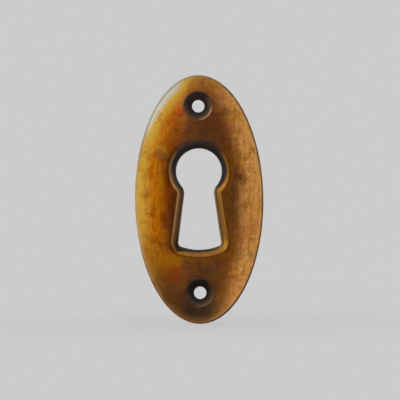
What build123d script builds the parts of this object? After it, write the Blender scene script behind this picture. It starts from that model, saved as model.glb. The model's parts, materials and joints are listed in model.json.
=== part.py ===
"""Oval keyhole escutcheon, pressed from brass sheet.

The plate stands as it does on a door: +Z up, the domed face towards -Y and the open back on the
plane Y = 0, where it meets the wood. The origin lies midway between the two screw holes.
"""

import os
from math import atan, cos, radians, sin, sqrt, tan

from build123d import *

# Plate
PLATE_HEIGHT = 48.0
PLATE_WIDTH = 24.8
SHEET = 0.8
EDGE_HEIGHT = 1.0
DOME_RISE = 2.6
EDGE_BREAK = 0.4

# Keyhole opening
HEAD_RADIUS = 4.4
HEAD_ABOVE_MIDDLE = 5.45
LEG_TAPER = 7.7
FOOT_BELOW_MIDDLE = 9.7
FOOT_WIDTH = 8.4
FOOT_ARC_RADIUS = 10.4
FOOT_CORNER_RADIUS = 0.8
RIM_BEND = 0.9
NECK_CREST_RADIUS = 0.6

# Screw holes
HOLE_DIAMETER = 2.4
HOLE_FROM_END = 6.0
DIMPLE_DIAMETER = 5.0
DIMPLE_ANGLE = 90.0
DIMPLE_BEND = 0.2

# The dome's skins run on past the plate's edge, which trims them.
SKIN_REACH = 1.2

# Every bend is given by its inside radius, and the face follows it one sheet further out.
RIM_ROLL = RIM_BEND + SHEET
DIMPLE_ROLL = DIMPLE_BEND + SHEET

# The inside of the rim's bend is a flat that touches its round.
RIM_FLAT = RIM_BEND * (2 - sqrt(2))

# The rim's crest is tightest at the neck, and the opening below it lies one roll further in.
NECK_RADIUS = RIM_ROLL + NECK_CREST_RADIUS

CROWN = EDGE_HEIGHT + DOME_RISE
HALF_HEIGHT = PLATE_HEIGHT / 2
HALF_WIDTH = PLATE_WIDTH / 2
HOLE_HEIGHT = HALF_HEIGHT - HOLE_FROM_END
DIMPLE_SLOPE = tan(radians(DIMPLE_ANGLE / 2))


def dimple_plane(side):
    """The plane that touches the face over the screw hole on one side of the middle, 1 or -1."""
    touch = (0, DOME_RISE * (HOLE_HEIGHT / HALF_HEIGHT) ** 2 - CROWN, side * HOLE_HEIGHT)
    fall = side * 2 * DOME_RISE * HOLE_HEIGHT / HALF_HEIGHT**2
    return Plane(origin=touch, x_dir=(0, fall, 1), z_dir=(0, -1, fall))


def dome_skin(inset):
    """One skin of the dome, whose level curves are ovals of the plate's own proportions."""
    ends = []
    for half in (HALF_WIDTH, HALF_HEIGHT):
        lean = atan(2 * DOME_RISE / half)
        fall = DOME_RISE - inset + inset * cos(lean)
        reach = SKIN_REACH * half
        scale = reach / (half - inset * sin(lean))
        ends.append((reach, fall * scale**2))
    (across, fall_across), (along, fall_along) = ends
    return Face.make_bezier_surface(
        [
            [
                (
                    i * across,
                    inset - CROWN + (abs(i) * 2 - 1) * fall_across + (abs(j) * 2 - 1) * fall_along,
                    j * along,
                )
                for j in (-1, 0, 1)
            ]
            for i in (-1, 0, 1)
        ]
    )


# Keyhole outline: a round head over a leg that widens to a bowed foot
foot_half = FOOT_WIDTH / 2
foot_height = FOOT_ARC_RADIUS - sqrt(FOOT_ARC_RADIUS**2 - foot_half**2) - FOOT_BELOW_MIDDLE
leg_top_half = foot_half - (HEAD_ABOVE_MIDDLE - foot_height) * tan(radians(LEG_TAPER))

with BuildSketch() as keyhole:
    with BuildLine():
        foot_left = (-foot_half, foot_height)
        foot_right = (foot_half, foot_height)
        ThreePointArc(foot_left, (0, -FOOT_BELOW_MIDDLE), foot_right)
        Polyline(
            foot_right,
            (leg_top_half, HEAD_ABOVE_MIDDLE),
            (-leg_top_half, HEAD_ABOVE_MIDDLE),
            foot_left,
        )
    make_face()
    with Locations((0, HEAD_ABOVE_MIDDLE)):
        Circle(HEAD_RADIUS)
    fillet(keyhole.vertices().group_by(Axis.Y)[1], NECK_RADIUS)
    fillet(keyhole.vertices().group_by(Axis.Y)[0], FOOT_CORNER_RADIUS)


def pressed_form(inset):
    """The solid under one skin of the sheet: its face at inset 0, its back at the sheet's thickness."""
    with BuildPart() as form:
        with BuildSketch(Plane.XZ):
            Ellipse(HALF_WIDTH - inset, HALF_HEIGHT - inset)
        extrude(amount=CROWN)
        extrude(dome_skin(inset), amount=2 * CROWN, dir=(0, 1, 0), mode=Mode.INTERSECT)
        if not inset:
            chamfer(form.faces().sort_by(Axis.Y)[0].outer_wire().edges(), EDGE_BREAK)

        # Keyhole with its rolled rim
        with BuildSketch(Plane.XZ):
            add(keyhole.sketch)
            if inset:
                offset(amount=inset)
        extrude(amount=CROWN, mode=Mode.SUBTRACT)
        rim = form.faces().sort_by(Axis.Y)[0].inner_wires().edges()
        if inset:
            chamfer(rim, RIM_FLAT)
        else:
            fillet(rim, RIM_ROLL)

        # Screw holes, each in a dimple
        apex_depth = (DIMPLE_DIAMETER / 2 + inset / cos(radians(DIMPLE_ANGLE / 2))) / DIMPLE_SLOPE
        cone_height = apex_depth + CROWN
        with Locations(*(dimple_plane(side).offset(-apex_depth) for side in (1, -1))):
            Cone(
                0,
                cone_height * DIMPLE_SLOPE,
                cone_height,
                align=(Align.CENTER, Align.CENTER, Align.MIN),
                mode=Mode.SUBTRACT,
            )
        with BuildSketch(Plane.XZ):
            with GridLocations(0, 2 * HOLE_HEIGHT, 1, 2):
                Circle(HOLE_DIAMETER / 2 + inset)
        extrude(amount=CROWN, mode=Mode.SUBTRACT)
        if not inset:
            dimples = form.faces().sort_by(Axis.Y)[0].inner_wires().sort_by(SortBy.LENGTH)[:2]
            fillet(dimples.edges(), DIMPLE_ROLL)
    return form.part


with BuildPart() as plate:
    add(pressed_form(0))
    add(pressed_form(SHEET), mode=Mode.SUBTRACT)
plate.part.label = "escutcheon_plate"

os.makedirs("parts", exist_ok=True)
export_step(plate.part, "parts/escutcheon_plate.step")
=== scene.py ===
import json
from functools import reduce
from math import atan, atan2, cos, pi, radians, sin, sqrt, tan

import bmesh
import bpy
import numpy as np
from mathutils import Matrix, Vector, noise
from mathutils.geometry import delaunay_2d_cdt


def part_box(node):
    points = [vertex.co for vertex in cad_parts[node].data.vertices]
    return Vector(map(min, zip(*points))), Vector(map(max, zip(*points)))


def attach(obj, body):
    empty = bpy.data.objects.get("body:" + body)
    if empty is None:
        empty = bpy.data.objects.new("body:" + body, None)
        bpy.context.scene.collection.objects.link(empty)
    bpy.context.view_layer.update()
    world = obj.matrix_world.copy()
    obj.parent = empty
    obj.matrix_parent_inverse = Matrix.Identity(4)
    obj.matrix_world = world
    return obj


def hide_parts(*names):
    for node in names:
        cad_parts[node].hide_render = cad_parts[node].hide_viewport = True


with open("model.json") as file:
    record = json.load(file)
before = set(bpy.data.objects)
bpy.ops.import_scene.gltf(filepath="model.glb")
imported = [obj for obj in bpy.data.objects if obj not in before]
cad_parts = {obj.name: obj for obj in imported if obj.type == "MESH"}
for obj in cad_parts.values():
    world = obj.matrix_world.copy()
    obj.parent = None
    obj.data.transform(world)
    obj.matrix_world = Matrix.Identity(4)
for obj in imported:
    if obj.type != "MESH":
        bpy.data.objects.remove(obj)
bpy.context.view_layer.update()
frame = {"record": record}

MM = 0.001
scene = bpy.context.scene

# Sizes of the plate in millimetres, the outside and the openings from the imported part
plate_low, plate_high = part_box("escutcheon_plate")
mounts = {mount["name"]: mount for mount in frame["record"]["mounts"]}
WITHIN = 0.001
HALF_WIDTH = min(plate_high.x, -plate_low.x) / MM - WITHIN
HALF_HEIGHT = min(plate_high.z, -plate_low.z) / MM - WITHIN
HOLE_HEIGHT = mounts["screw_holes"]["dims"]["spacing_y_mm"] / 2
HOLE_RADIUS = mounts["screw_holes"]["dims"]["hole_r_mm"]
HEAD_RADIUS = mounts["keyhole"]["dims"]["r_mm"]
HEAD_ABOVE_MIDDLE = mounts["keyhole"]["pos_m"][2] / MM
SHEET = 0.8
EDGE_HEIGHT = 1.0
DOME_RISE = 2.6
EDGE_ROLL = 0.55
BACK_EDGE_ROLL = 0.2
LEG_TAPER = radians(7.7)
FOOT_BELOW_MIDDLE = 9.7
FOOT_WIDTH = 8.4
FOOT_ARC_RADIUS = 10.4
FOOT_CORNER_RADIUS = 0.8
RIM_BEND = 0.9
NECK_CREST_RADIUS = 0.6
DIMPLE_RADIUS = 2.5
DIMPLE_ANGLE = radians(90)
DIMPLE_ROUNDING = 0.42
BACK_DIMPLE_ROUNDING = 0.15
RIM_ROLL = RIM_BEND + SHEET
NECK_RADIUS = RIM_ROLL + NECK_CREST_RADIUS
DIMPLE_SLOPE = tan(DIMPLE_ANGLE / 2)
CROWN = EDGE_HEIGHT + DOME_RISE

# Fineness of the mesh: points in a ring, or millimetres between points
OVAL_COUNT = 640
HOLE_COUNT = 112
KEYHOLE_SPACING = 0.12
FACE_SPACING = 0.27
BACK_SPACING = 0.5

# Share of the spacing that points on the dome are out of place by, and that they keep off its rings
JITTER = 0.12
CLEARANCE = 0.62
FACE_SEED = 5
BACK_SEED = 6
MERGE_WITHIN = 1e-7
CHUNKS = 24


def smooth(low_end, high_end, value):
    """0 below low_end, 1 above high_end and a smooth rise between them."""
    t = np.clip((np.asarray(value, float) - low_end) / (high_end - low_end), 0, 1)
    return t * t * (3 - 2 * t)


def bump(value, centre, reach):
    """1 at the centre, fading out on both sides of it."""
    return np.exp(-(((value - centre) / reach) ** 2))


def perlin(points, scale, seed):
    """Noise from about -1 to 1 at points in millimetres, one bump to each scale millimetres."""
    depth = 3.7 * seed
    return np.array([noise.noise((x / scale + seed, z / scale, depth)) for x, z in points])


def inside(points, ring):
    """Which points lie inside a closed ring."""
    x, z = points[:, 0], points[:, 1]
    within = np.zeros(len(points), bool)
    for (x0, z0), (x1, z1) in zip(ring, np.roll(ring, -1, 0)):
        if z0 == z1:
            continue
        crosses = (z0 > z) != (z1 > z)
        within ^= crosses & (x < x0 + (z - z0) / (z1 - z0) * (x1 - x0))
    return within


def between(points, rings):
    """Which points lie inside the first ring and outside the others."""
    within = inside(points, rings[0])
    for ring in rings[1:]:
        within &= ~inside(points, ring)
    return within


def nearest(points, targets):
    """The number of the target that is nearest to each point, and its distance."""
    numbers, distances = [], []
    for some in np.array_split(points, CHUNKS):
        away = np.hypot(*(some[:, None] - targets[None]).transpose(2, 0, 1))
        numbers.append(np.argmin(away, 1))
        distances.append(np.min(away, 1))
    return np.concatenate(numbers), np.concatenate(distances)


class Skin:
    """Heights in front of the back plane of one skin of the sheet, the face at inset 0."""

    CONE_ROUNDS = 10
    ROLL_ROUNDS = 8

    def __init__(self, inset):
        self.inset = inset
        self.top = CROWN - inset
        self.fall = []
        for half in (HALF_WIDTH, HALF_HEIGHT):
            lean = atan(2 * DOME_RISE / half)
            reach = half - inset * sin(lean)
            self.fall.append((DOME_RISE - inset + inset * cos(lean)) / reach**2)

    def dome(self, xz):
        """Height of the dome, whose level curves are ovals."""
        return self.top - self.fall[0] * xz[..., 0] ** 2 - self.fall[1] * xz[..., 1] ** 2

    def slope(self, xz, way):
        """How steeply the dome falls in a direction."""
        return 2 * (self.fall[0] * xz[..., 0] * way[..., 0] + self.fall[1] * xz[..., 1] * way[..., 1])

    def cone(self, xz, side):
        """Height of a dimple's cone, which stands square on the face, found in a few rounds."""
        touch_height = CROWN - DOME_RISE * (HOLE_HEIGHT / HALF_HEIGHT) ** 2
        lean = atan(2 * DOME_RISE * HOLE_HEIGHT / HALF_HEIGHT**2)
        radius = DIMPLE_RADIUS + self.inset / cos(atan(DIMPLE_SLOPE))
        height = self.dome(xz)
        for _ in range(self.CONE_ROUNDS):
            rise = height - touch_height
            along = xz[..., 1] - side * HOLE_HEIGHT
            above = rise * cos(lean) + side * along * sin(lean)
            spoke = np.hypot(xz[..., 0], along * cos(lean) - side * rise * sin(lean))
            height = height + ((spoke - radius) / DIMPLE_SLOPE - above) / cos(lean)
        return height

    def dimpled(self, xz, side, rounding):
        """The lower of dome and cone, with the edge between them rounded."""
        dome, cone = self.dome(xz), self.cone(xz, side)
        gap = np.clip(rounding - np.abs(dome - cone), 0, None)
        return np.minimum(dome, cone) - gap**2 / (4 * rounding)

    def roll(self, foot, ways, radius, shares):
        """Rings of a round bend from an upright wall at foot to the dome, which lies in directions ways.

        The shares run from 0 at the wall to 1 where the bend meets the dome. Gives points and heights."""
        reach = np.full(len(foot), radius)
        for _ in range(self.ROLL_ROUNDS):
            slope = self.slope(foot + ways * reach[:, None], ways)
            reach = radius + radius * slope / np.sqrt(1 + slope**2)
        meet = foot + ways * reach[:, None]
        centre = self.dome(meet) - radius / np.sqrt(1 + slope**2)
        end = pi / 2 + np.arctan(slope)
        points, heights = [], []
        for share in shares:
            points.append(foot + ways * (radius - radius * np.cos(share * end))[:, None])
            heights.append(centre + radius * np.sin(share * end))
        return points, heights


def keyhole_outline(spacing):
    """Points along the keyhole's edge and the directions from it into the plate."""
    head = np.array((0.0, HEAD_ABOVE_MIDDLE))
    foot_half = FOOT_WIDTH / 2
    bow = np.array((0.0, FOOT_ARC_RADIUS - FOOT_BELOW_MIDDLE))
    corner = np.array((foot_half, bow[1] - sqrt(FOOT_ARC_RADIUS**2 - foot_half**2)))
    along = np.array((-sin(LEG_TAPER), cos(LEG_TAPER)))
    outward = np.array((cos(LEG_TAPER), sin(LEG_TAPER)))

    def up_the_leg(start, centre, distance):
        """The lower point on the line from start along the leg that lies at a distance from centre."""
        to = start - centre
        half = to @ along
        return start + along * (-half - sqrt(half**2 - to @ to + distance**2))

    def angle(way):
        return atan2(way[1], way[0])

    def arc(centre, radius, start, end, inward):
        """Points and directions along an arc, whose directions point to its centre if inward."""
        count = max(4, round(abs(end - start) * radius / spacing))
        turns = np.linspace(start, end, count, endpoint=False)
        spokes = np.stack((np.cos(turns), np.sin(turns)), 1)
        return centre + radius * spokes, -spokes if inward else spokes

    neck = up_the_leg(corner + NECK_RADIUS * outward, head, HEAD_RADIUS + NECK_RADIUS)
    toe = up_the_leg(corner - FOOT_CORNER_RADIUS * outward, bow, FOOT_ARC_RADIUS - FOOT_CORNER_RADIUS)
    head_end, leg_angle, toe_end = angle(neck - head), angle(outward), angle(toe - bow)
    leg_top = neck - NECK_RADIUS * outward
    leg_low = toe + FOOT_CORNER_RADIUS * outward
    leg_count = round(float(np.linalg.norm(leg_low - leg_top)) / spacing)
    leg_shares = np.linspace(0, 1, leg_count, endpoint=False)[:, None]
    pieces = [
        arc(head, HEAD_RADIUS, pi / 2, head_end, False),
        arc(neck, NECK_RADIUS, head_end + pi, leg_angle + pi, True),
        (leg_top + leg_shares * (leg_low - leg_top), np.repeat(outward[None], leg_count, 0)),
        arc(toe, FOOT_CORNER_RADIUS, leg_angle, toe_end, False),
        arc(bow, FOOT_ARC_RADIUS, toe_end, -pi / 2, False),
        (np.array([[0.0, -FOOT_BELOW_MIDDLE]]), np.array([[0.0, -1.0]])),
    ]
    right_points, right_ways = (np.concatenate(part) for part in zip(*pieces))
    flip = np.array((-1, 1))
    points = np.concatenate((right_points, right_points[-2:0:-1] * flip))
    ways = np.concatenate((right_ways, right_ways[-2:0:-1] * flip))
    return points, ways


def oval(inset):
    """Points on the plate's outline and the directions from it into the plate."""
    turns = np.linspace(0, 2 * pi, OVAL_COUNT, endpoint=False)
    half_width, half_height = HALF_WIDTH - inset, HALF_HEIGHT - inset
    points = np.stack((half_width * np.cos(turns), half_height * np.sin(turns)), 1)
    ways = -np.stack((np.cos(turns) / half_width, np.sin(turns) / half_height), 1)
    return points, ways / np.linalg.norm(ways, axis=1)[:, None]


hole_turns = np.linspace(0, 2 * pi, HOLE_COUNT, endpoint=False)


def circle(side, radius):
    """Points round the upper screw hole, side 1, or the lower one, side -1."""
    return np.stack((radius * np.cos(hole_turns), side * HOLE_HEIGHT + radius * np.sin(hole_turns)), 1)


class Plate:
    """Collects the mesh: points in millimetres, faces, and marks on the points for the material."""

    # Black of dirt and painted shade, dull lips painted lighter where they face the light, crests partly
    # rubbing and partly painted highlight, painted shade by the bends, golden tone by the keyhole partly
    # wear and partly painted reflection, the outer edge and the back
    MARKS = ("recess", "lip", "crest", "bend", "worn", "rim", "behind")

    def __init__(self):
        self.points, self.faces = [], []
        self.marks = {name: [] for name in self.MARKS}

    def add(self, xz, heights, **marks):
        """Adds points at heights in front of the back plane and returns their numbers."""
        first = len(self.points)
        heights = np.broadcast_to(heights, len(xz))
        for name, values in self.marks.items():
            values.extend(np.broadcast_to(marks.get(name, 0.0), len(xz)).tolist())
        self.points.extend((x, -height, z) for (x, z), height in zip(xz.tolist(), heights.tolist()))
        return np.arange(first, len(self.points))

    def bands(self, *rings):
        """Closed bands of quads from each ring to the next, which has as many points."""
        for a, b in zip(rings, rings[1:]):
            self.faces.extend(np.stack((a, b, np.roll(b, -1), np.roll(a, -1)), 1).tolist())

    def rolled(self, skin, foot, ways, radius, wall_shares, wall_marks, bend_shares, bend_marks):
        """A wall that stands on the wood and bends over to the dome. Gives its first and last rings."""
        points, heights = skin.roll(foot, ways, radius, bend_shares)
        wall = [self.add(foot, heights[0] * share, **wall_marks) for share in wall_shares]
        bend = [self.add(p, h, **bend_marks(s)) for p, h, s in zip(points, heights, bend_shares)]
        self.bands(*wall, *bend)
        return wall[0], bend[-1]

    def dimple(self, skin, side, radii, rounding, wall_shares, wall_marks, cone_marks):
        """The wall of a screw hole and its dimple, out to the dome. Gives their first and last rings."""
        cone = []
        for radius in radii:
            ring = circle(side, radius)
            height = skin.dome(ring) if radius == radii[-1] else skin.dimpled(ring, side, rounding)
            cone.append(self.add(ring, height, **cone_marks(radius, ring, height)))
        hole = circle(side, radii[0])
        top = skin.dimpled(hole, side, rounding)
        wall = [self.add(hole, top * share, **wall_marks) for share in wall_shares]
        self.bands(*wall, *cone)
        return wall[0], cone[-1]

    def fill(self, skin, loops, spacing, jitter_seed, **marks):
        """Triangles over the dome between an outer loop, the first one, and the loops of its holes."""
        borders = [np.array([(self.points[i][0], self.points[i][2]) for i in loop]) for loop in loops]
        border = np.concatenate(borders)
        rows = []
        for k, z in enumerate(np.arange(-HALF_HEIGHT, HALF_HEIGHT, spacing * sqrt(3) / 2)):
            xs = np.arange(-HALF_WIDTH, HALF_WIDTH, spacing) + (k % 2) * spacing / 2
            rows.append(np.stack((xs, np.full(len(xs), z)), 1))
        grid = np.concatenate(rows)
        grid += np.random.default_rng(jitter_seed).uniform(-JITTER, JITTER, grid.shape) * spacing
        grid = grid[between(grid, borders)]
        grid = grid[nearest(grid, border)[1] > spacing * CLEARANCE]
        inner = self.add(grid, skin.dome(grid), **{name: value(grid) for name, value in marks.items()})
        numbers = np.concatenate((*loops, inner))
        links, start = [], 0
        for loop in loops:
            own = np.arange(start, start + len(loop))
            links.extend(np.stack((own, np.roll(own, -1)), 1).tolist())
            start += len(loop)
        flat = [Vector(point) for point in np.concatenate((border, grid)).tolist()]
        corners, _, triangles, origins, _, _ = delaunay_2d_cdt(flat, links, [], 0, MERGE_WITHIN)
        middles = np.array([np.mean([corners[i] for i in triangle], 0) for triangle in triangles])
        for triangle, wanted in zip(triangles, between(middles, borders)):
            if wanted:
                self.faces.append([int(numbers[origins[i][0]]) for i in triangle])


face, back = Skin(0), Skin(SHEET)
plate = Plate()
outline, outline_ways = keyhole_outline(KEYHOLE_SPACING)

# Where along the keyhole's edge a point lies, each from 0 to 1
edge_x, edge_z = outline.T
on_head = smooth(1.0, 3.5, edge_z)
on_top = on_head * smooth(0.4, 0.95, outline_ways[:, 1])
on_foot = smooth(0.4, 0.95, -outline_ways[:, 1])
on_right = smooth(-0.3, 0.4, outline_ways[:, 0] + 0.2 * edge_x * on_foot)
on_left_head = on_head * (1 - on_right) * (1 - on_top)
in_cheek = on_left_head * bump(edge_z, 4.0, 2.0)
in_neck = on_right * bump(edge_z, 2.4, 1.5)
CORNER_X = FOOT_WIDTH / 2
CORNER_Z = 1.0 - FOOT_BELOW_MIDDLE
CORNER_REACH = 1.14
in_left, in_right = (
    bump(np.hypot(edge_x - side * CORNER_X, edge_z - CORNER_Z), 0, CORNER_REACH) for side in (-1, 1)
)

# How far up the rim's roll it is black there, and how soon the black fades: dirt with painted shade,
# which differs by side and spreads onto the dome at the top
black = 0.08 + 0.36 * on_head + 0.12 * on_left_head + 0.26 * on_foot
black += 0.34 * in_left - 0.2 * in_right + 0.18 * on_top - 0.3 * in_cheek
fade = 0.24 + on_right * (0.22 * on_head * (1 - in_neck) - 0.08) + 0.34 * on_top + 0.15 * in_cheek
black_at_dome = 1 - smooth(0, 1, (1 - black) / fade)

# How bright its crest is, partly from rubbing and partly a painted highlight, how far the brightness
# spreads, and its painted shade and its golden tone on the dome, that tone partly wear and partly painted
# reflection
rub_and_highlight = (1 - on_top) * (1 - 0.4 * on_foot * (1 - in_right)) * (1 - 0.8 * in_left)
rub_and_highlight *= 1 - 0.35 * (1 - on_right) * smooth(-4.0, -7.0, edge_z)
rub_and_highlight_wide = np.maximum.reduce((in_right, 0.9 * in_neck, 0.6 * on_foot))
shaded = 1.35 - 0.95 * on_right - 0.4 * on_head * (1 - on_right)
shaded = shaded * (1 - on_foot - on_top) + 0.5 * on_top
# Golden tone by the keyhole's right and below its foot, partly wear and partly painted reflection
gold_wear_and_sheen = on_right * (1 - on_top) * (0.35 + 0.4 * bump(edge_z, 5.0, 3.0))
gold_wear_and_sheen = np.maximum(0.9 * on_foot, gold_wear_and_sheen)
spread_from_rim = 1.3 + 0.9 * (1 - on_right) * (1 - on_foot) * smooth(2.0, -5.0, edge_z)
CREST_SHARE = 0.74


def rim_marks(share):
    """The rim is black by the opening with dirt and painted shade, then dull, and bright along a thin
    line at its crest, partly from rubbing and partly a painted highlight.
    """
    thin = bump(share, CREST_SHARE, 0.035)
    wide = smooth(0.40, 0.50, share) * (1 - smooth(CREST_SHARE, 0.84, share))
    return {
        "bend": shaded,
        "worn": gold_wear_and_sheen * smooth(0.78, 0.86, share),
        "recess": 1 - smooth(0, 1, (share - black) / fade),
        "lip": (1 - smooth(CREST_SHARE - 0.06, CREST_SHARE, share)) * (1 - 0.5 * on_foot),
        "crest": rub_and_highlight * np.maximum(thin, rub_and_highlight_wide * wide),
    }


def by_keyhole(values):
    """Gives points of the dome the value at the nearest part of the keyhole's edge, less further off."""

    def at(xz):
        numbers, distances = nearest(xz, outline)
        return values[numbers] * (1 - smooth(0, 1, (distances - RIM_ROLL) / spread_from_rim[numbers]))

    return at


def by_holes(xz):
    """The shade round the dimples, all round but at the lower right."""
    shade = np.zeros(len(xz))
    for side in (1, -1):
        x, z = xz[:, 0], xz[:, 1] - side * HOLE_HEIGHT
        open_side = smooth(0.3, 0.97, np.cos(np.arctan2(z, x) + radians(40)))
        shade += 0.9 * (1 - open_side) * (1 - smooth(2.6, 4.1, np.hypot(x, z)))
    return shade


def dimple_marks(lit_turn, lit_from, lit_share):
    """A dimple is black in its hole with dirt and painted shade, which reaches further on its unlit side;
    it has dust below, is painted lighter inside on its lit right side, and has a painted highlight on its
    lit edge.
    """
    lit = smooth(lit_from, 0.97, np.cos(hole_turns + radians(lit_turn)))
    dust_below = 0.6 * smooth(0.3, 0.95, np.cos(hole_turns + radians(125)))
    # Inside the dimple on its lit right side, painted lighter
    lit_inside = smooth(-0.1, 0.8, np.cos(hole_turns + radians(30)))

    def at(radius, ring, height):
        depth = face.dome(ring) - height
        dust_and_lit_side = np.maximum(dust_below, lit_inside) * smooth(1.5, 2.3, radius)
        return {
            "lip": dust_and_lit_side * smooth(0.02, 0.10, depth),
            "recess": (1 - smooth(0, 1, (radius - 2.56 + 0.34 * lit) / 0.5)) * (1 - 0.55 * dust_and_lit_side),
            "crest": lit_share * lit * smooth(0.004, 0.02, depth) * (1 - smooth(0.06, 0.16, depth)),
            "bend": by_holes(ring),
        }

    return at


# Face: the outer edge, the keyhole's rim and the dimples, then the dome between them
edge_shares = np.linspace(0, 1, 10)
rim_shares = np.concatenate((
    np.linspace(0, 0.62, 14),
    np.linspace(0.65, 0.86, 12),
    np.linspace(0.89, 1, 5),
))
face_radii = np.concatenate((
    np.linspace(HOLE_RADIUS, DIMPLE_RADIUS - 0.4, 9),
    np.linspace(DIMPLE_RADIUS - 0.33, DIMPLE_RADIUS + 0.65, 15),
    [DIMPLE_RADIUS + 0.8],
))
# Walls of the openings, black with dirt and painted shade
black_wall = {"recess": 1.0}
shade_by_keyhole = by_keyhole(shaded)
face_features = [
    plate.rolled(
        face, *oval(0), EDGE_ROLL,
        (0, 0.08, 0.5), {"rim": 1.0},
        edge_shares, lambda share: {"rim": 1 - 0.8 * share},
    ),
    plate.rolled(
        face, outline, outline_ways, RIM_ROLL,
        (0, 0.06, 0.4, 0.75), black_wall,
        rim_shares, rim_marks,
    ),
]
for side, marks in ((1, dimple_marks(40, 0.58, 1.0)), (-1, dimple_marks(60, 0.40, 0.75))):
    face_features.append(
        plate.dimple(face, side, face_radii, DIMPLE_ROUNDING, (0, 0.1, 0.5), black_wall, marks)
    )
plate.fill(
    face, [last for _, last in face_features], FACE_SPACING, FACE_SEED,
    bend=lambda xz: shade_by_keyhole(xz) + by_holes(xz),
    worn=by_keyhole(gold_wear_and_sheen),
    recess=by_keyhole(black_at_dome),
)

# Back: the same features one sheet further in, each joined to the face's own at the wood
back_edge_shares = np.linspace(0, 1, 5)
back_rim_shares = np.linspace(0, 1, 9)
back_radii = np.concatenate((np.linspace(HOLE_RADIUS + SHEET, 3.4, 8), np.linspace(3.5, 4.2, 7)))
plain_back = {"behind": 1.0}
dusty_back = {"behind": 1.0, "recess": 0.3}
back_features = [
    plate.rolled(
        back, *oval(SHEET), BACK_EDGE_ROLL,
        (0, 0.5), dusty_back,
        back_edge_shares, lambda share: plain_back,
    ),
    plate.rolled(
        back, outline + SHEET * outline_ways, outline_ways, RIM_BEND,
        (0, 0.35, 0.7), dusty_back,
        back_rim_shares, lambda share: dusty_back,
    ),
]
for side in (1, -1):
    back_features.append(
        plate.dimple(
            back, side, back_radii, BACK_DIMPLE_ROUNDING, (0, 0.5), dusty_back, lambda *ring: dusty_back
        )
    )
plate.fill(
    back, [last for _, last in back_features], BACK_SPACING, BACK_SEED,
    behind=lambda xz: np.ones(len(xz)),
)
for (face_foot, _), (back_foot, _) in zip(face_features, back_features):
    plate.bands(face_foot, back_foot)

# Hand wear in the shape: the face is a little wavy and has shallow dents
DENT_COUNT = 26
DENT_SEED = 11
WAVE_DEPTH = 0.014
points = np.array(plate.points)
spread = points[:, [0, 2]]
in_front = 1 - np.array(plate.marks["behind"])
loose = in_front * smooth(0.4, 1.4, -points[:, 1])
wave = 0.010 * perlin(spread, 4.5, 1.3) + 0.004 * perlin(spread, 1.4, 2.1) - WAVE_DEPTH
rng = np.random.default_rng(DENT_SEED)
for _ in range(DENT_COUNT):
    dent = rng.uniform((-HALF_WIDTH, -HALF_HEIGHT), (HALF_WIDTH, HALF_HEIGHT))
    size = rng.uniform(0.35, 1.1)
    depth = rng.uniform(0.006, 0.025)
    wave -= depth * np.exp(-np.sum((spread - dent) ** 2, 1) / (2 * (size / 2) ** 2))
points[:, 1] -= loose * wave

# Mesh with its marks
SHARP_ANGLE = radians(38)
mesh = bpy.data.meshes.new("aged_plate")
mesh.from_pydata((points * MM).tolist(), [], plate.faces)
shell = bmesh.new()
shell.from_mesh(mesh)
bmesh.ops.recalc_face_normals(shell, faces=shell.faces)
shell.to_mesh(mesh)
shell.free()
for name, values in plate.marks.items():
    mesh.attributes.new(name, "FLOAT", "POINT").data.foreach_set("value", np.array(values, np.float32))
mesh.polygons.foreach_set("use_smooth", np.ones(len(mesh.polygons), bool))
mesh.set_sharp_from_angle(angle=SHARP_ANGLE)
mesh.update()
body = bpy.data.objects.new("aged_plate", mesh)
scene.collection.objects.link(body)
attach(body, "root")
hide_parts("escutcheon_plate")

# Material, whose nodes go into the tree at hand
brass = bpy.data.materials.new("aged_brass")
brass.use_nodes = True
mesh.materials.append(brass)
tree = brass.node_tree


def node(kind, **settings):
    """A new node of the tree at hand."""
    made = tree.nodes.new(kind)
    for name, value in settings.items():
        setattr(made, name, value)
    return made


def put(socket, value):
    """Links a socket, or sets it to a plain value."""
    if isinstance(value, bpy.types.NodeSocket):
        tree.links.new(value, socket)
    else:
        socket.default_value = value


def put_tone(socket, tone):
    """Links a colour socket, or sets it to a plain tone of three values."""
    put(socket, (*tone, 1.0) if isinstance(tone, tuple) else tone)


def combine(operation, a, b=0.0, clamp=False):
    """One value worked out from one or two."""
    made = node("ShaderNodeMath", operation=operation, use_clamp=clamp)
    put(made.inputs[0], a)
    put(made.inputs[1], b)
    return made.outputs[0]


def plus(a, b, clamp=False):
    return combine("ADD", a, b, clamp)


def minus(a, b, clamp=False):
    return combine("SUBTRACT", a, b, clamp)


def over(a, b, clamp=False):
    return combine("DIVIDE", a, b, clamp)


def larger(a, b):
    return combine("MAXIMUM", a, b)


def times(*factors):
    return reduce(lambda a, b: combine("MULTIPLY", a, b), factors)


def length(a, b):
    """How far a point lies from the origin, from its two coordinates."""
    return combine("SQRT", plus(times(a, a), times(b, b)))


def ramp(value, low_end, high_end, to_low=0.0, to_high=1.0):
    """Goes smoothly from to_low to to_high as a value goes from low_end to high_end."""
    made = node("ShaderNodeMapRange", interpolation_type="SMOOTHSTEP")
    for socket, setting in zip(made.inputs, (value, low_end, high_end, to_low, to_high)):
        put(socket, setting)
    return made.outputs[0]


def mix(share, a, b):
    """Tone a with a share of tone b over it."""
    made = node("ShaderNodeMix", data_type="RGBA")
    put(made.inputs[0], share)
    put_tone(made.inputs[6], a)
    put_tone(made.inputs[7], b)
    return made.outputs[2]


def coat(tone, *layers):
    """Lays tones over a first one, in order, each by its share."""
    for share, upper in layers:
        tone = mix(share, tone, upper)
    return tone


def on_object():
    """Where a point lies in the object's own frame, in metres."""
    return node("ShaderNodeTexCoord").outputs["Object"]


def place(*axes):
    """Where a point lies along some of the object's own axes."""
    split = node("ShaderNodeSeparateXYZ")
    put(split.inputs[0], on_object())
    return [split.outputs[axis] for axis in axes]


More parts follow.
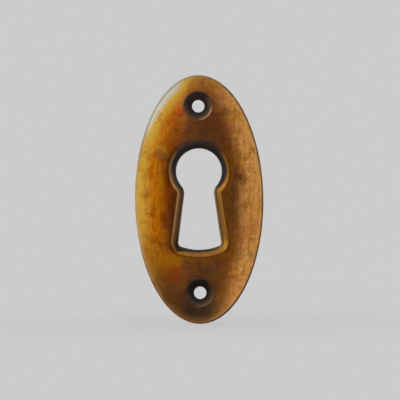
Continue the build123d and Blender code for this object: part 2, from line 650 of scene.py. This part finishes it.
def cloud(scale, detail, roughness, stretch=None, turn=0.0):
    """Noise on the object, stretched along its axes where a stretch is given."""
    vector = on_object()
    if stretch:
        mapping = node("ShaderNodeMapping")
        put(mapping.inputs["Vector"], vector)
        mapping.inputs["Scale"].default_value = stretch
        mapping.inputs["Rotation"].default_value = (0, turn, 0)
        vector = mapping.outputs[0]
    made = node("ShaderNodeTexNoise")
    put(made.inputs["Vector"], vector)
    made.inputs["Scale"].default_value = scale
    made.inputs["Detail"].default_value = detail
    made.inputs["Roughness"].default_value = roughness
    return made.outputs["Fac"]


recess, lip, crest, bend, worn, rim, behind = (
    node("ShaderNodeAttribute", attribute_name=name).outputs["Fac"] for name in Plate.MARKS
)

# Noises, from coarse to fine, and two along the way the plate was wiped
patch = cloud(150, 3.0, 0.5)
moss = cloud(300, 5.0, 0.65)
blotch = cloud(420, 7.0, 0.62)
hue = cloud(430, 3.0, 0.6)
blot = cloud(520, 5.0, 0.7)
tint = cloud(620, 4.0, 0.6)
mist = cloud(700, 4.0, 0.65)
mottle = cloud(760, 4.0, 0.6)
fine = cloud(1500, 6.0, 0.65)
streak = cloud(1.0, 4.0, 0.55, (1300, 1300, 160), 0.03)
grain = cloud(1.0, 5.0, 0.6, (3200, 3200, 240), 0.06)

# Where a point lies: sideways, up, across the plate at its own height, and outward to the edge
PLATE_ENDS = 0.04
x_place, z_place = place("X", "Z")
sideways = over(x_place, HALF_WIDTH * MM)
up = over(z_place, HALF_HEIGHT * MM)
across = over(sideways, combine("SQRT", larger(minus(1.0, times(up, up)), PLATE_ENDS)))
outward = length(sideways, up)
upper_left = plus(times(sideways, -0.57), times(up, 0.82))
off_middle = combine("ABSOLUTE", across)
on_left = ramp(across, -0.15, -0.4)
in_middle = times(ramp(across, -0.5, -0.2), ramp(across, 0.6, 0.3))
on_side = ramp(across, 0.40, 0.6)
by_hole = ramp(combine("ABSOLUTE", up), 0.52, 0.58)


def spot(x, z, half_width, half_height, strength):
    """A ragged patch about a point, in millimetres."""
    a = over(minus(x_place, x * MM), half_width * MM)
    b = over(minus(z_place, z * MM), half_height * MM)
    ragged = times(minus(tint, 0.5), 3.0)
    return ramp(plus(length(a, b), ragged), 1.2, 0.5, 0.0, strength)


# Lacquer: amber on the left, brown in the middle and tan on the right, the flanks lighter than the middle
# partly as a painted reflection
stops = (
    (0.02, (0.88, 0.42, 0.060)),
    (0.12, (0.94, 0.29, 0.004)),
    (0.24, (0.87, 0.160, 0.010)),
    (0.38, (0.62, 0.20, 0.065)),
    (0.66, (0.62, 0.20, 0.065)),
    (0.78, (0.66, 0.19, 0.030)),
    (0.90, (0.84, 0.37, 0.080)),
)
bands = node("ShaderNodeValToRGB")
for _ in stops[2:]:
    bands.color_ramp.elements.new(0.5)
for element, (position, tone) in zip(bands.color_ramp.elements, stops):
    element.position = position
    element.color = (*tone, 1.0)
drift = plus(times(minus(patch, 0.5), 0.30), times(minus(blotch, 0.5), 0.16))
put(bands.inputs[0], plus(times(plus(across, 1.0), 0.5), drift))

# Hues in the lacquer, by side
low_red = times(ramp(up, -0.40, -0.65), ramp(across, 0.1, -0.35), ramp(blotch, 0.45, 0.55, 0.2, 0.7))
red = larger(times(ramp(patch, 0.48, 0.62, 0.0, 0.7), ramp(across, 0.75, 0.30)), low_red)
olive = times(ramp(moss, 0.53, 0.66, 0.0, 0.6), ramp(across, -0.4, -0.1))
yellow = times(on_left, ramp(tint, 0.53, 0.63, 0.0, 0.65))
rust = times(on_left, ramp(tint, 0.47, 0.37, 0.0, 0.7))
stain = times(ramp(blot, 0.58, 0.68, 0.0, 0.75), ramp(across, 0.3, 0.6))
golden = times(on_side, ramp(hue, 0.52, 0.62, 0.0, 0.6))
pinkish = times(on_side, ramp(hue, 0.48, 0.38, 0.0, 0.6))
colour = coat(
    bands.outputs[0],
    (red, mix(ramp(across, -0.45, -0.1), (0.80, 0.17, 0.004), (0.60, 0.17, 0.050))),
    (olive, (0.46, 0.25, 0.055)),
    (yellow, (0.92, 0.40, 0.010)),
    (rust, (0.62, 0.12, 0.008)),
    (stain, (0.34, 0.11, 0.030)),
    (golden, (0.82, 0.39, 0.030)),
    (pinkish, (0.86, 0.34, 0.110)),
)

# Brown patina in blotches, streaks and specks, with lighter streaks and flecks of bare metal
brown = mix(ramp(across, -0.45, 0.0), (0.40, 0.11, 0.004), (0.36, 0.12, 0.030))
light_streak = times(ramp(streak, 0.47, 0.32, 0.0, 0.5), ramp(off_middle, 0.4, 0.75))
light_tone = mix(ramp(across, -0.1, 0.1), (0.97, 0.40, 0.006), (0.95, 0.50, 0.14))
fleck = times(ramp(fine, 0.43, 0.33), ramp(across, 0.3, 0.7, 0.0, 0.8))
golden_top = ramp(up, 0.80, 0.95, 0.0, 0.8)
dull_end = times(ramp(up, -0.5, -0.75), ramp(across, -0.2, 0.2, 0.62, 0.4))
dull_tone = mix(ramp(across, -0.3, 0.3), (0.36, 0.175, 0.090), (0.50, 0.22, 0.080))
dark_mottle = times(in_middle, ramp(mottle, 0.54, 0.62, 0.0, 0.8))
light_mottle = times(in_middle, ramp(mottle, 0.47, 0.38, 0.0, 0.7))
glint = times(in_middle, ramp(fine, 0.45, 0.35, 0.0, 0.6))
haze = times(on_left, ramp(up, 0.10, 0.40), ramp(mist, 0.52, 0.66, 0.0, 0.5))
colour = coat(
    colour,
    (ramp(blotch, 0.50, 0.64, 0.0, 0.6), brown),
    (ramp(streak, 0.52, 0.66, 0.0, 0.5), brown),
    (light_streak, light_tone),
    (ramp(fine, 0.52, 0.68, 0.0, 0.5), brown),
    (fleck, (0.95, 0.60, 0.24)),
    (golden_top, (0.62, 0.25, 0.018)),
    (dull_end, dull_tone),
    (dark_mottle, (0.38, 0.14, 0.065)),
    (light_mottle, (0.66, 0.28, 0.022)),
    (glint, (0.84, 0.36, 0.13)),
    (haze, (0.60, 0.32, 0.085)),
)

# Stains with a place of their own, broad shades, and by the bends the painted shade and a golden tone
# that is partly wear and partly painted reflection
low_brown = times(ramp(across, 0.25, 0.45), ramp(across, 0.75, 0.55), ramp(up, -0.25, -0.45, 0.0, 0.45))
upper_side = times(ramp(up, 0.20, 0.45), ramp(up, 0.75, 0.60), ramp(across, -0.3, -0.6, 0.0, 0.25))
low_right = times(ramp(up, -0.50, -0.72, 0.0, 0.55), ramp(across, 0.0, 0.25))
low_side = times(ramp(up, -0.25, -0.45, 0.0, 0.4), ramp(across, -0.35, -0.7))
colour = coat(
    colour,
    (spot(-5.4, -11.7, 2.5, 1.4, 0.75), (0.95, 0.37, 0.006)),
    (spot(-4.9, -14.5, 2.3, 1.4, 0.5), (0.72, 0.125, 0.014)),
    (spot(7.7, 4.6, 1.7, 1.9, 0.8), (0.36, 0.105, 0.030)),
    (spot(5.1, 16.9, 1.0, 0.9, 0.75), (0.27, 0.135, 0.035)),
    (spot(7.9, 4.1, 0.4, 0.8, 0.7), (0.13, 0.06, 0.022)),
    (spot(10.6, -5.6, 1.3, 2.2, 0.5), (0.64, 0.20, 0.060)),
    (spot(-7.0, 8.7, 1.6, 1.3, 0.7), (0.40, 0.14, 0.030)),
    (low_brown, (0.52, 0.155, 0.015)),
    (upper_side, (0.55, 0.24, 0.020)),
    (low_right, (0.50, 0.18, 0.035)),
    (low_side, (0.50, 0.17, 0.014)),
    (times(bend, ramp(blotch, 0.35, 0.6, 0.30, 0.65)), (0.37, 0.105, 0.022)),
    (times(worn, ramp(blotch, 0.65, 0.45, 0.6, 1.0)), (0.86, 0.29, 0.022)),
)

# The outer edge: bare brass where hands and dusters reach, more on the left, and a painted highlight on
# the left, yellow down the edge and near white at the upper left
left_edge_highlight = times(ramp(outward, 0.77, 0.92), ramp(across, -0.25, -0.6), ramp(up, -0.60, 0.2, 0.05, 1.0))
edge_wear_and_highlight = times(
    ramp(outward, 0.92, 0.985), ramp(across, 0.2, -0.5, 0.35, 0.8), ramp(up, 0.75, 0.92, 1.0, 0.3)
)
foot_wear = times(ramp(outward, 0.90, 0.97), ramp(up, -0.88, -0.95, 0.0, 0.95))
edge_tone = mix(ramp(up, -0.35, -0.6), (0.84, 0.56, 0.23), (0.92, 0.46, 0.16))
# Painted highlight, near white, at the upper left of the edge
upper_left_highlight = times(ramp(upper_left, 0.85, 0.95), ramp(outward, 0.885, 0.96), ramp(sideways, -0.16, -0.34))
colour = coat(
    colour,
    (times(left_edge_highlight, ramp(blotch, 0.64, 0.50, 0.5, 0.95)), (0.93, 0.55, 0.07)),
    (times(larger(edge_wear_and_highlight, foot_wear), ramp(blotch, 0.62, 0.45, 0.4, 1.0)), edge_tone),
    (times(upper_left_highlight, ramp(blotch, 0.7, 0.5, 0.75, 1.0)), (0.90, 0.83, 0.67)),
)

# Dirt in pits and low down, dull lips painted lighter where they face the light, crests partly rubbing
# and partly painted highlight, black of dirt and painted shade in the recesses, a dark edge line of
# painted shade, and the back
pits = node("ShaderNodeTexVoronoi")
put(pits.inputs["Vector"], on_object())
pits.inputs["Scale"].default_value = 1100
pit = times(ramp(pits.outputs["Distance"], 0.06, 0.22, 1.0, 0.0), ramp(blotch, 0.50, 0.64))
low_dirt = times(
    ramp(up, -0.76, -0.86), ramp(off_middle, 0.75, 0.30), ramp(outward, 0.98, 0.92, 0.0, 0.6)
)
right_half = ramp(sideways, -0.1, 0.1)
# Tones of the lips: dull olive dirt, painted lighter and more orange on the right half, which faces the
# light
left_lip = mix(ramp(up, -0.15, -0.30), (0.26, 0.165, 0.070), (0.19, 0.135, 0.048))
hole_lip = mix(ramp(up, 0.1, -0.1), (0.26, 0.20, 0.105), (0.27, 0.165, 0.085))
lip_tone = coat(left_lip, (right_half, (0.45, 0.22, 0.047)), (by_hole, hole_lip))
# Tone of the crests, partly rubbing and partly painted highlight
rub_and_highlight_tone = coat(
    (0.98, 0.54, 0.22),
    (right_half, (1.00, 0.44, 0.045)),
    (ramp(up, -0.38, -0.42), (0.47, 0.24, 0.022)),
    (by_hole, (0.74, 0.46, 0.23)),
)
# The black tone of dirt and painted shade
DIRT_AND_SHADE = (0.044, 0.038, 0.037)
dark = times(recess, ramp(fine, 0.2, 0.6, 0.88, 1.0))
dark_tone = coat(DIRT_AND_SHADE, (ramp(up, -0.20, -0.36), (0.036, 0.020, 0.009)), (by_hole, DIRT_AND_SHADE))
by_highlight = ramp(upper_left, 0.7, 0.85)
# A dark line of painted shade along the outer edge, most on the right and at the upper left
edge_shade_line = times(
    ramp(rim, 0.05, 0.30),
    larger(ramp(sideways, -0.3, 0.3, 0.10, 0.70), ramp(upper_left, 0.7, 0.85, 0.0, 0.5)),
)
colour = coat(
    colour,
    (times(pit, 0.7), (0.05, 0.028, 0.012)),
    (low_dirt, (0.24, 0.17, 0.09)),
    (times(lip, ramp(fine, 0.35, 0.65, 0.75, 0.95)), lip_tone),
    (times(crest, ramp(fine, 0.62, 0.45, 0.55, 1.0)), rub_and_highlight_tone),
    (dark, dark_tone),
    (edge_shade_line, mix(by_highlight, (0.27, 0.145, 0.055), (0.30, 0.26, 0.16))),
    (times(behind, 0.6), (0.26, 0.13, 0.045)),
)

# Metal, dull where the black of dirt and painted shade and the lips cover it, with a fine grain and pits
bsdf = tree.nodes["Principled BSDF"]
put(bsdf.inputs["Base Color"], colour)
covered = plus(times(dark, 0.75), times(lip, 0.5), clamp=True)
put(bsdf.inputs["Metallic"], minus(1.0, covered, clamp=True))
roughness = plus(ramp(fine, 0.3, 0.7, 0.13, 0.24), times(dark, 0.3))
put(bsdf.inputs["Roughness"], plus(roughness, times(behind, 0.15)))
bsdf.inputs["Specular IOR Level"].default_value = 0.25
relief = node("ShaderNodeBump")
relief.inputs["Strength"].default_value = 0.35
relief.inputs["Distance"].default_value = 0.03 * MM
put(relief.inputs["Height"], plus(times(grain, 0.5), minus(fine, pit)))
put(bsdf.inputs["Normal"], relief.outputs[0])

# Stage: a plain grey world, which looks paler than the light it gives
BACKGROUND = 0.604
WORLD_LIGHT = 0.35
world = bpy.data.worlds.new("studio")
scene.world = world
world.use_nodes = True
tree = world.node_tree
rays = node("ShaderNodeLightPath").outputs
seen = plus(rays["Is Camera Ray"], rays["Is Glossy Ray"], clamp=True)
seen = plus(seen, rays["Is Transmission Ray"], clamp=True)
sky = tree.nodes["Background"]
sky.inputs["Strength"].default_value = 1.0
put(sky.inputs["Color"], mix(seen, (WORLD_LIGHT,) * 3, (BACKGROUND,) * 3))


def rectangle(a_low, a_high, b_low, b_high):
    """Corners of a rectangle, in order round it."""
    return (a_low, b_low), (a_high, b_low), (a_high, b_high), (a_low, b_high)


def stage_sheet(name, paint_name, corners):
    """A flat sheet of the stage and the tree of its material, which has no surface yet."""
    sheet = bpy.data.meshes.new(name)
    sheet.from_pydata(corners, [], [(0, 1, 2, 3)])
    made = bpy.data.objects.new(name, sheet)
    scene.collection.objects.link(made)
    paint = bpy.data.materials.new(paint_name)
    paint.use_nodes = True
    paint.node_tree.nodes.remove(paint.node_tree.nodes["Principled BSDF"])
    sheet.materials.append(paint)
    return made, paint.node_tree


def show_in_metal_only(card):
    """Hides a card from everything but reflections."""
    card.visible_camera = False
    card.visible_diffuse = False
    card.visible_shadow = False
    card.visible_transmission = False


def emission(tone, strength=1.0):
    made = node("ShaderNodeEmission")
    put_tone(made.inputs["Color"], tone)
    put(made.inputs["Strength"], strength)
    return made.outputs[0]


def blend(share, a, b):
    """Surface a with a share of surface b over it."""
    made = node("ShaderNodeMixShader")
    for socket, value in zip(made.inputs, (share, a, b)):
        put(socket, value)
    return made.outputs[0]


def see_through():
    return node("ShaderNodeBsdfTransparent").outputs[0]


def show(surface):
    put(tree.nodes["Material Output"].inputs["Surface"], surface)


# Pale floor, which glows for the camera alone and fades into the background
FLOOR_REACH = 0.25
FLOOR_GREY = 0.40
FLOOR_GLOW = 0.44
FADE_FROM = 0.01
FADE_TO = 0.10
floor_corners = rectangle(-FLOOR_REACH, FLOOR_REACH, -FLOOR_REACH, FLOOR_REACH)
floor, tree = stage_sheet("floor", "pale_floor", [(x, y, plate_low.z) for x, y in floor_corners])
floor.visible_glossy = False
shown = ramp(length(*place("X", "Y")), FADE_FROM, FADE_TO, 1.0, 0.0)
to_camera = node("ShaderNodeLightPath").outputs["Is Camera Ray"]
matte = node("ShaderNodeBsdfDiffuse")
put_tone(matte.inputs["Color"], (FLOOR_GREY,) * 3)
floor_surface = node("ShaderNodeAddShader")
put(floor_surface.inputs[0], emission((1.0,) * 3, times(to_camera, FLOOR_GLOW)))
put(floor_surface.inputs[1], matte.outputs[0])
show(blend(shown, see_through(), floor_surface.outputs[0]))

# Card on the camera's side, which the metal mirrors: dark in the middle and bright low on the right
CARD_AWAY = 0.45
card_corners = rectangle(-CARD_AWAY, CARD_AWAY, -CARD_AWAY, CARD_AWAY)
card, tree = stage_sheet("card", "dark_card", [(x, -CARD_AWAY, z) for x, z in card_corners])
show_in_metal_only(card)
card_right, card_up = (over(value, CARD_AWAY) for value in place("X", "Z"))


def reach_from(x, z, half_width, half_height):
    """1 on an oval of that size about a point of the card, and less inside it."""
    return length(over(minus(card_right, x), half_width), over(minus(card_up, z), half_height))


dark_reach = reach_from(
    0.02,
    ramp(card_right, -0.2, 0.1, 0.03, 0.0),
    ramp(card_up, 0.0, -0.35, 0.62, 0.69),
    ramp(card_right, -0.2, 0.1, 0.34, 0.50),
)
softness = ramp(card_right, -0.1, 0.1, 0.20, 0.09)
dark_oval = over(minus(plus(softness, 1.0), dark_reach), times(softness, 2.0), clamp=True)
dark_low_left = times(
    ramp(card_up, 0.04, -0.48, 0.0, 0.95),
    ramp(card_right, 0.10, -0.15),
    ramp(card_right, -0.50, -0.70, 1.0, 0.7),
)
dark_low_middle = ramp(reach_from(-0.03, -0.50, 0.27, 0.24), 1.15, 0.8)
density = larger(dark_oval, larger(dark_low_left, dark_low_middle))
bright = ramp(reach_from(0.57, -0.43, 0.16, 0.15), 0.5, 1.2, 1.0, 0.0)
card_grey = coat(
    (0.115,) * 3,
    (ramp(card_up, 0.25, -0.25), (0.165,) * 3),
    (ramp(card_up, -0.36, -0.48), (0.085,) * 3),
)
dark_card = blend(density, see_through(), emission(card_grey))
show(blend(bright, dark_card, emission((0.95,) * 3)))

# Plain brown cards to the right and below, for the steep bends to mirror
SIDE_CARD_X = 0.45
SIDE_CARD_FRONT = -0.22
LOW_CARD_Z = -0.15
LOW_CARD_FRONT = -0.10
CARD_HALF = 0.6
CARD_BACK = 0.5
side_corners = rectangle(SIDE_CARD_FRONT, CARD_BACK, -CARD_HALF, CARD_HALF)
low_corners = rectangle(-CARD_HALF, CARD_HALF, LOW_CARD_FRONT, CARD_BACK)
for name, corners, tone in (
    ("side_card", [(SIDE_CARD_X, y, z) for y, z in side_corners], (0.30, 0.21, 0.13)),
    ("low_card", [(x, y, LOW_CARD_Z) for x, y in low_corners], (0.16, 0.11, 0.065)),
):
    card, tree = stage_sheet(name, name, corners)
    show_in_metal_only(card)
    show(emission(tone))

# Soft lamp at the upper left
LAMP_AWAY = 0.6
azimuth, elevation = radians(-40), radians(26)
light = bpy.data.lights.new("key", "AREA")
light.size = 0.22
light.energy = 0.02
lamp = bpy.data.objects.new("key", light)
scene.collection.objects.link(lamp)
lamp_way = Vector((sin(azimuth) * cos(elevation), -cos(azimuth) * cos(elevation), sin(elevation)))
lamp.location = LAMP_AWAY * lamp_way
lamp.rotation_euler = (-lamp_way).to_track_quat("-Z", "Y").to_euler()

# Camera, square on to the face, with the plate where the photo has it
PHOTO_PIXELS = 400
PHOTO_WIDTH = 77.26 * MM
PLATE_PIXEL = (199.20, 199.49)
PLATE_TILT = radians(0.6)
CAMERA_AWAY = 0.6
view = bpy.data.cameras.new("camera")
view.sensor_width = 36
view.lens = view.sensor_width * CAMERA_AWAY / PHOTO_WIDTH
view.clip_start = 0.01
view.clip_end = 10
camera = bpy.data.objects.new("camera", view)
scene.collection.objects.link(camera)
aside, below = ((PHOTO_PIXELS / 2 - pixel) * PHOTO_WIDTH / PHOTO_PIXELS for pixel in PLATE_PIXEL)
camera.location = (aside, -CAMERA_AWAY, -below)
camera.rotation_euler = (radians(90), PLATE_TILT, 0)
scene.camera = camera
scene.view_settings.view_transform = "Standard"
